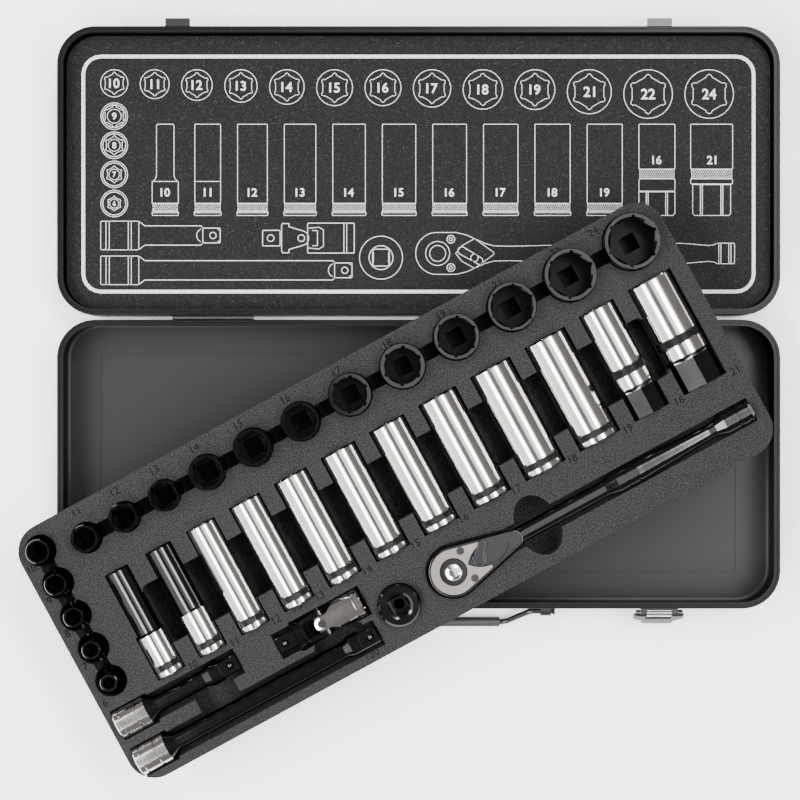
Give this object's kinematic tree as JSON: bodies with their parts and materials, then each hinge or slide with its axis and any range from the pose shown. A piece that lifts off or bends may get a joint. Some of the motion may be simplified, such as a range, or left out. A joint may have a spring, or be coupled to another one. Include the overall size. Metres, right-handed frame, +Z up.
{
  "type": "socket wrench set in case",
  "caption": "Metric socket wrench set with ratchet, extension bars, universal joint and adaptor in a foam tray laid across its open steel case.",
  "frame": {"origin": "centre of the case base's underside, on the surface it stands on", "axes": "+X to the right along the case's length, +Y from the base across the hinge to the open lid, +Z up"},
  "size_m": [0.424, 0.4228, 0.0593],
  "materials": {
    "case_black": "satin black powder coat",
    "fitting_black": "semi-gloss black plating",
    "grip_black": "satin black",
    "liner": "fine leather grain with white print",
    "foam": "charcoal closed-cell foam",
    "black_chrome": "polished black chrome",
    "chrome": "polished chrome",
    "bar_chrome": "chrome head, black chrome shaft",
    "insert_rubber": "matt",
    "satin_nickel": "satin nickel",
    "dark_steel": "blackened steel"
  },
  "bodies": {
    "base": {"case_base": "case_black", "base_hinge_leaves": "fitting_black", "hinge_pins": "fitting_black", "latch_brackets": "fitting_black", "latch_pins": "fitting_black", "handle_brackets": "fitting_black"},
    "lid": {"case_lid": "case_black", "lid_liner": "liner", "lid_hinge_leaves": "fitting_black", "lid_catches": "fitting_black"},
    "tray": {"foam_tray": "foam"},
    "latch_left": {"latch_left": "fitting_black"},
    "latch_right": {"latch_right": "fitting_black"},
    "handle": {"handle_bail": "fitting_black", "handle_grip": "grip_black"},
    "ratchet": {"ratchet_handle": "black_chrome", "ratchet_cover": "satin_nickel", "cover_screws": "dark_steel", "pawl": "black_chrome"},
    "drive": {"drive_gear": "black_chrome"},
    "button": {"release_button": "chrome"},
    "lever": {"reversing_lever": "black_chrome"},
    "joint_driver": {"joint_driver": "black_chrome"},
    "joint_barrel": {"joint_barrel": "chrome", "joint_cross": "black_chrome"},
    "adaptor": {"adaptor": "black_chrome"},
    "deep_socket_10": {"deep_socket_10": "chrome"},
    "deep_socket_11": {"deep_socket_11": "chrome"},
    "deep_socket_12": {"deep_socket_12": "chrome"},
    "deep_socket_13": {"deep_socket_13": "chrome"},
    "deep_socket_14": {"deep_socket_14": "chrome"},
    "deep_socket_15": {"deep_socket_15": "chrome"},
    "deep_socket_16": {"deep_socket_16": "chrome"},
    "deep_socket_17": {"deep_socket_17": "chrome"},
    "deep_socket_18": {"deep_socket_18": "chrome"},
    "deep_socket_19": {"deep_socket_19": "chrome"},
    "extension_bar_150": {"extension_bar_150": "bar_chrome"},
    "extension_bar_75": {"extension_bar_75": "bar_chrome"},
    "socket_06": {"socket_06": "black_chrome"},
    "socket_07": {"socket_07": "black_chrome"},
    "socket_08": {"socket_08": "black_chrome"},
    "socket_09": {"socket_09": "black_chrome"},
    "socket_10": {"socket_10": "black_chrome"},
    "socket_11": {"socket_11": "black_chrome"},
    "socket_12": {"socket_12": "black_chrome"},
    "socket_13": {"socket_13": "black_chrome"},
    "socket_14": {"socket_14": "black_chrome"},
    "socket_15": {"socket_15": "black_chrome"},
    "socket_16": {"socket_16": "black_chrome"},
    "socket_17": {"socket_17": "black_chrome"},
    "socket_18": {"socket_18": "black_chrome"},
    "socket_19": {"socket_19": "black_chrome"},
    "socket_21": {"socket_21": "black_chrome"},
    "socket_22": {"socket_22": "black_chrome"},
    "socket_24": {"socket_24": "black_chrome"},
    "plug_socket_16": {"plug_socket_16": "chrome", "plug_insert_16": "insert_rubber"},
    "plug_socket_21": {"plug_socket_21": "chrome", "plug_insert_21": "insert_rubber"}
  },
  "joints": [
    {"name": "tray_lift", "type": "slide", "parent": "base", "child": "tray", "axis": [0, 0, 1], "range_m": [0, 0.42]},
    {"name": "lid_hinge", "type": "hinge", "parent": "base", "child": "lid", "pos_m": [0, 0.0828, 0.02565], "axis": [1, 0, 0], "range_deg": [0, 180]},
    {"name": "handle_swing", "type": "hinge", "parent": "base", "child": "handle", "pos_m": [0, -0.0843, 0.012], "axis": [-1, 0, 0], "range_deg": [0, 110]},
    {"name": "latch_left_swing", "type": "hinge", "parent": "base", "child": "latch_left", "pos_m": [-0.136, -0.0844, 0.0225], "axis": [-1, 0, 0], "range_deg": [0, 70]},
    {"name": "latch_right_swing", "type": "hinge", "parent": "base", "child": "latch_right", "pos_m": [0.136, -0.0844, 0.0225], "axis": [-1, 0, 0], "range_deg": [0, 150]},
    {"name": "lift_adaptor", "type": "slide", "parent": "tray", "child": "adaptor", "axis": [0, 0, 1], "range_m": [0, 0.03]},
    {"name": "lift_deep_socket_10", "type": "slide", "parent": "tray", "child": "deep_socket_10", "axis": [0, 0, 1], "range_m": [0, 0.03]},
    {"name": "lift_deep_socket_11", "type": "slide", "parent": "tray", "child": "deep_socket_11", "axis": [0, 0, 1], "range_m": [0, 0.03]},
    {"name": "lift_deep_socket_12", "type": "slide", "parent": "tray", "child": "deep_socket_12", "axis": [0, 0, 1], "range_m": [0, 0.03]},
    {"name": "lift_deep_socket_13", "type": "slide", "parent": "tray", "child": "deep_socket_13", "axis": [0, 0, 1], "range_m": [0, 0.03]},
    {"name": "lift_deep_socket_14", "type": "slide", "parent": "tray", "child": "deep_socket_14", "axis": [0, 0, 1], "range_m": [0, 0.03]},
    {"name": "lift_deep_socket_15", "type": "slide", "parent": "tray", "child": "deep_socket_15", "axis": [0, 0, 1], "range_m": [0, 0.03]},
    {"name": "lift_deep_socket_16", "type": "slide", "parent": "tray", "child": "deep_socket_16", "axis": [0, 0, 1], "range_m": [0, 0.03]},
    {"name": "lift_deep_socket_17", "type": "slide", "parent": "tray", "child": "deep_socket_17", "axis": [0, 0, 1], "range_m": [0, 0.03]},
    {"name": "lift_deep_socket_18", "type": "slide", "parent": "tray", "child": "deep_socket_18", "axis": [0, 0, 1], "range_m": [0, 0.03]},
    {"name": "lift_deep_socket_19", "type": "slide", "parent": "tray", "child": "deep_socket_19", "axis": [0, 0, 1], "range_m": [0, 0.03]},
    {"name": "lift_extension_bar_150", "type": "slide", "parent": "tray", "child": "extension_bar_150", "axis": [0, 0, 1], "range_m": [0, 0.03]},
    {"name": "lift_extension_bar_75", "type": "slide", "parent": "tray", "child": "extension_bar_75", "axis": [0, 0, 1], "range_m": [0, 0.03]},
    {"name": "lift_joint_driver", "type": "slide", "parent": "tray", "child": "joint_driver", "axis": [0, 0, 1], "range_m": [0, 0.03]},
    {"name": "lift_plug_socket_16", "type": "slide", "parent": "tray", "child": "plug_socket_16", "axis": [0, 0, 1], "range_m": [0, 0.03]},
    {"name": "lift_plug_socket_21", "type": "slide", "parent": "tray", "child": "plug_socket_21", "axis": [0, 0, 1], "range_m": [0, 0.03]},
    {"name": "lift_ratchet", "type": "slide", "parent": "tray", "child": "ratchet", "axis": [0, 0, 1], "range_m": [0, 0.03]},
    {"name": "lift_socket_06", "type": "slide", "parent": "tray", "child": "socket_06", "axis": [0, 0, 1], "range_m": [0, 0.03]},
    {"name": "lift_socket_07", "type": "slide", "parent": "tray", "child": "socket_07", "axis": [0, 0, 1], "range_m": [0, 0.03]},
    {"name": "lift_socket_08", "type": "slide", "parent": "tray", "child": "socket_08", "axis": [0, 0, 1], "range_m": [0, 0.03]},
    {"name": "lift_socket_09", "type": "slide", "parent": "tray", "child": "socket_09", "axis": [0, 0, 1], "range_m": [0, 0.03]},
    {"name": "lift_socket_10", "type": "slide", "parent": "tray", "child": "socket_10", "axis": [0, 0, 1], "range_m": [0, 0.03]},
    {"name": "lift_socket_11", "type": "slide", "parent": "tray", "child": "socket_11", "axis": [0, 0, 1], "range_m": [0, 0.03]},
    {"name": "lift_socket_12", "type": "slide", "parent": "tray", "child": "socket_12", "axis": [0, 0, 1], "range_m": [0, 0.03]},
    {"name": "lift_socket_13", "type": "slide", "parent": "tray", "child": "socket_13", "axis": [0, 0, 1], "range_m": [0, 0.03]},
    {"name": "lift_socket_14", "type": "slide", "parent": "tray", "child": "socket_14", "axis": [0, 0, 1], "range_m": [0, 0.03]},
    {"name": "lift_socket_15", "type": "slide", "parent": "tray", "child": "socket_15", "axis": [0, 0, 1], "range_m": [0, 0.03]},
    {"name": "lift_socket_16", "type": "slide", "parent": "tray", "child": "socket_16", "axis": [0, 0, 1], "range_m": [0, 0.03]},
    {"name": "lift_socket_17", "type": "slide", "parent": "tray", "child": "socket_17", "axis": [0, 0, 1], "range_m": [0, 0.03]},
    {"name": "lift_socket_18", "type": "slide", "parent": "tray", "child": "socket_18", "axis": [0, 0, 1], "range_m": [0, 0.03]},
    {"name": "lift_socket_19", "type": "slide", "parent": "tray", "child": "socket_19", "axis": [0, 0, 1], "range_m": [0, 0.03]},
    {"name": "lift_socket_21", "type": "slide", "parent": "tray", "child": "socket_21", "axis": [0, 0, 1], "range_m": [0, 0.03]},
    {"name": "lift_socket_22", "type": "slide", "parent": "tray", "child": "socket_22", "axis": [0, 0, 1], "range_m": [0, 0.03]},
    {"name": "lift_socket_24", "type": "slide", "parent": "tray", "child": "socket_24", "axis": [0, 0, 1], "range_m": [0, 0.03]},
    {"name": "drive_spin", "type": "hinge", "parent": "ratchet", "child": "drive", "pos_m": [0.01871, -0.0577, 0.05065], "axis": [0, 0, 1], "continuous": true},
    {"name": "button_press", "type": "slide", "parent": "drive", "child": "button", "axis": [0, 0, -1], "range_m": [0, 0.0018], "stiffness_N_per_m": 400, "springref_m": -0.0015},
    {"name": "reverse", "type": "hinge", "parent": "ratchet", "child": "lever", "pos_m": [0.03216, -0.05039, 0.05065], "axis": [0, 0, 1], "range_deg": [-96, 0]},
    {"name": "joint_bend", "type": "hinge", "parent": "joint_driver", "child": "joint_barrel", "pos_m": [-0.05309, -0.08598, 0.04865], "axis": [0.4772, -0.8788, 0], "range_deg": [0, 55]}
  ],
  "couplings": [
    {"joint": "lid_hinge", "follows": "tray_lift", "rad_per_m": 7.479}
  ]
}
